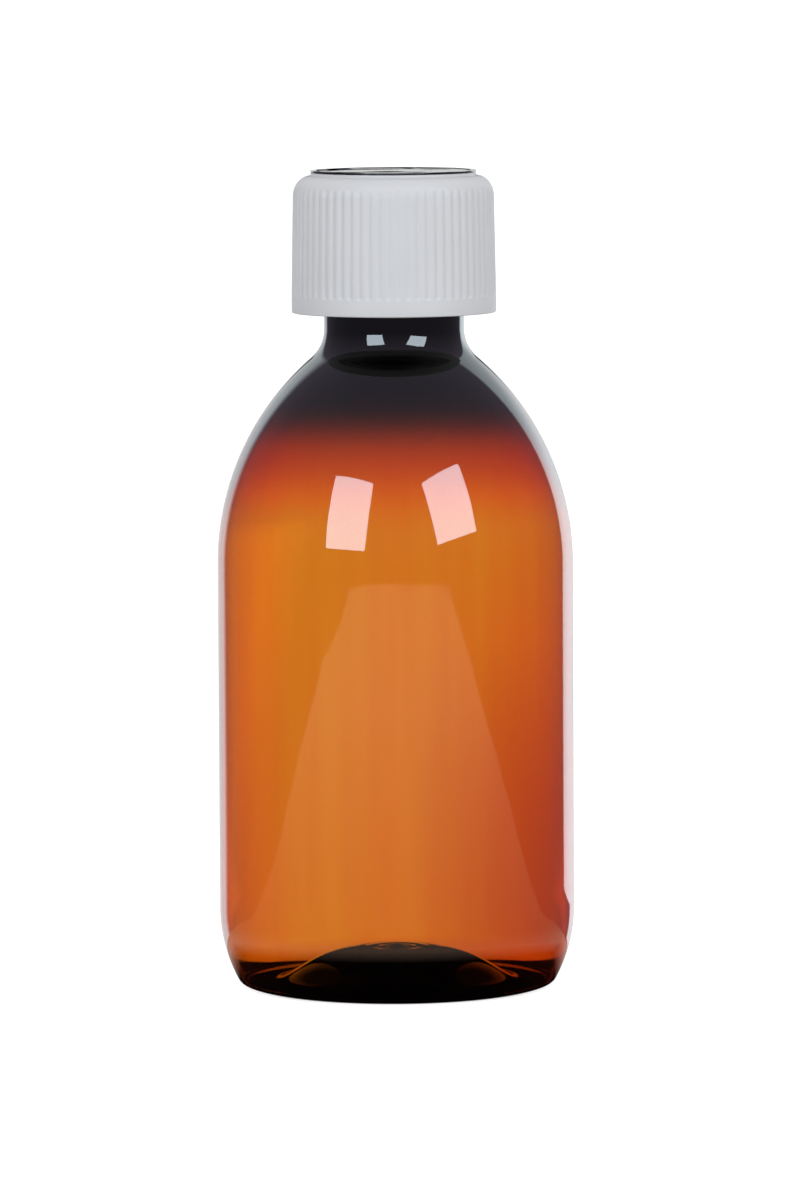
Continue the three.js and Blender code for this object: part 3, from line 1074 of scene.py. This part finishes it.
def world():
    """White all round for what shows directly or through the plastic, a dim room for reflections."""
    made = bpy.data.worlds.new("studio")
    made.use_nodes = True
    tree = made.node_tree
    tree.nodes.clear()
    direction = add(tree, "ShaderNodeTexCoord").outputs["Generated"]
    height = coordinates(tree, direction)["Z"]
    room_strength = spread(tree, height, ROOM_LOW, ROOM_HIGH, 0, ROOM_HIGH_AT)
    reflected = mirrored_room(tree, sky, direction, room_strength)
    white_out = sky(tree, WHITE, spread(tree, refracted(tree), WHITE_OUT, SEEN_THROUGH, 0, 1))
    seen = mixed(tree, mirrored(tree), white_out, reflected)
    is_matt = light_path(tree, "Is Diffuse Ray")
    lit = mixed(tree, is_matt, seen, sky(tree, WHITE, MATT_FILL))
    add(tree, "ShaderNodeOutputWorld", {"Surface": lit})
    bpy.context.scene.world = made


# What reflections see of each sheet of the floor, given how far a place is from the axis and its
# heading from the bottle.

def open_floor(tree, reach, heading):
    return mirrored_room(tree, glow, heading, ROOM_LOW)


def lit_pool(tree, reach, heading):
    """A painted pool of light, where the front lights fall on the floor."""
    far = spread(tree, reach, POOL_NEAR, POOL_FAR, *POOL_FAR_R)
    foot = spread(tree, reach, POOL_FOOT, 0, *POOL_FOOT_R)
    return glow(tree, POOL_TINT, dimmed_inside(tree, maths(tree, "MAXIMUM", far, foot)))


# Painted shade: reflections see only the dim room's colour here.
def dim_patch(tree, reach, heading):
    return glow(tree, ROOM_TINT, ROOM_LOW)


def panel_heading(tree, place):
    """Direction from the bottle's nearer side to a place on the floor."""
    across, depth, _ = coordinates(tree, place)
    side = maths(tree, "SIGN", across)
    x = maths(tree, "MULTIPLY_ADD", side, -RIM_X, across)
    y = maths(tree, "ADD", depth, -RIM_Y)
    away = add(tree, "ShaderNodeCombineXYZ", {"X": x, "Y": y}).outputs["Vector"]
    return vector_maths(tree, "NORMALIZE", away)["Vector"]


def seen_through(tree, place):
    """The floor as it shows through the plastic: painted light makes it brighter on the left, and
    painted shade makes it fall off on the right.
    """
    across, depth, _ = coordinates(tree, place)
    right = spread(tree, across, 0, SHADE, *SHADE_X)
    near = spread(tree, depth, 1, 0, *SHADE_NEAR)
    behind = spread(tree, depth, 0, 1, *SHADE_BEHIND)
    shade = maths(tree, "MULTIPLY", maths(tree, "MULTIPLY", right, near), behind)
    grey = spread(tree, shade, SEEN_THROUGH, 0, 0, 1)
    left = spread(tree, across, LEFT_GAIN, 0, *LEFT_GAIN_X)
    low = spread(tree, depth, 1, 0, *LEFT_GAIN_Y)
    return glow(tree, WHITE, maths(tree, "ADD", maths(tree, "MULTIPLY", left, low), grey))


def stage_material(name, mirror_image):
    """Pale floor: white to the camera, greyer through the plastic, with a painted shadow, black right
    under the bottle.

    mirror_image builds what reflections see of it.
    """
    material, tree = new_material(name)
    place = add(tree, "ShaderNodeTexCoord").outputs["Object"]
    reach = axis_distance(tree, place)
    depth = coordinates(tree, place)["Y"]
    white = add(tree, "ShaderNodeBsdfPrincipled", {
        "Base Color": (0.5, 0.5, 0.5, 1),
        "Roughness": 0.9,
        "Specular IOR Level": 0.0,
        "Emission Color": WHITE,
        "Emission Strength": 0.85,
    }).outputs[0]
    black = add(tree, "ShaderNodeBsdfDiffuse", {"Color": SHADOW_BLACK}).outputs[0]

    matt = mixed(tree, light_path(tree, "Is Diffuse Ray"), white, glow(tree, WHITE, MATT_FLOOR))
    # Painted shadow: black to the camera under the base.
    direct = mixed(tree, spread(tree, reach, 0, 1, *UNDER_BASE_R), black, matt)

    # Painted shadow: black under the foot, as the floor shows through the plastic.
    clear_of_foot = spread(tree, reach, 0, 1, *FOOT_R)
    past_foot = spread(tree, depth, 0, 1, *FOOT_Y)
    beside_foot = maths(tree, "MAXIMUM", clear_of_foot, past_foot)
    through = mixed(tree, beside_foot, black, seen_through(tree, place))

    # Painted shadow round the foot, as reflections see the floor.
    clear_of_shadow = spread(tree, reach, 0, 1, *SHADOW_R)
    past_shadow = spread(tree, depth, 0, 1, *SHADOW_Y)
    beside_shadow = maths(tree, "MAXIMUM", clear_of_shadow, past_shadow)
    image = mirror_image(tree, reach, panel_heading(tree, place))
    reflected = mixed(tree, beside_shadow, black, image)

    shown = mixed(tree, mirrored(tree), mixed(tree, refracted(tree), direct, through), reflected)
    add(tree, "ShaderNodeOutputMaterial", {"Surface": shown})
    return material


def stage_sheet(name, corners, z, mirror_image):
    mesh = bpy.data.meshes.new(name)
    mesh.from_pydata([(x, y, z) for x, y in corners], [], [list(range(len(corners)))])
    mesh.materials.append(stage_material(name, mirror_image))
    made = bpy.data.objects.new(name, mesh)
    bpy.context.scene.collection.objects.link(made)


def studio():
    world()
    half = FLOOR_HALF
    whole = ((-half, -half), (half, -half), (half, half), (-half, half))
    stage_sheet("floor", whole, FLOOR_Z, open_floor)
    stage_sheet("lit_floor", LIT_FLOOR, LIT_Z, lit_pool)
    stage_sheet("dim_floor", DIM_FLOOR, DIM_Z, dim_patch)
    for values in LIGHTS:
        area_light(*values)


# ---------------------------------------------------------------- scene

camera()

white = white_material("outer_white", OUTER_WHITE, 0.58)
inner_white = white_material("inner_white", INNER_WHITE, 0.45)
piece("amber_bottle", bottle_shape(), amber_material(), "bottle", "amber_pet", "bottle")
piece("foam_wad", liner_shape(), foam_material(), "liner", "foam_liner", "cap_liner")
piece("threaded_inner_cap", inner_cap_shape(), inner_white, "threaded_cap", "inner_white", "inner_cap")
spring = piece("spring_leaves", spring_shape(), white, "spring", "outer_white", "spring_fingers")
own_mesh(spring)
piece("ribbed_shell", outer_cap_shape(), white, "ribbed_cap", "outer_white", "outer_cap")
card = card_material("printed_card", CARD_DARK, CARD_LIGHT)
arrow_ink = card_material("arrow_ink", ARROW_DARK, ARROW_LIGHT)
piece("printed_disc", card_shape(), card, "ribbed_cap", "printed_card", "instruction_card")
arrows = joined(*[arrow_shape(start) for start in ARROW_STARTS])
piece("turn_arrows", arrows, arrow_ink, "ribbed_cap", "printed_card")
piece("clear_disc", window_shape(), window_material(), "ribbed_cap", "clear_window", "top_window")

studio()
scene = bpy.context.scene
scene.view_settings.view_transform = "Standard"
scene.cycles.max_bounces = 24
scene.cycles.transmission_bounces = 20
scene.cycles.glossy_bounces = 8
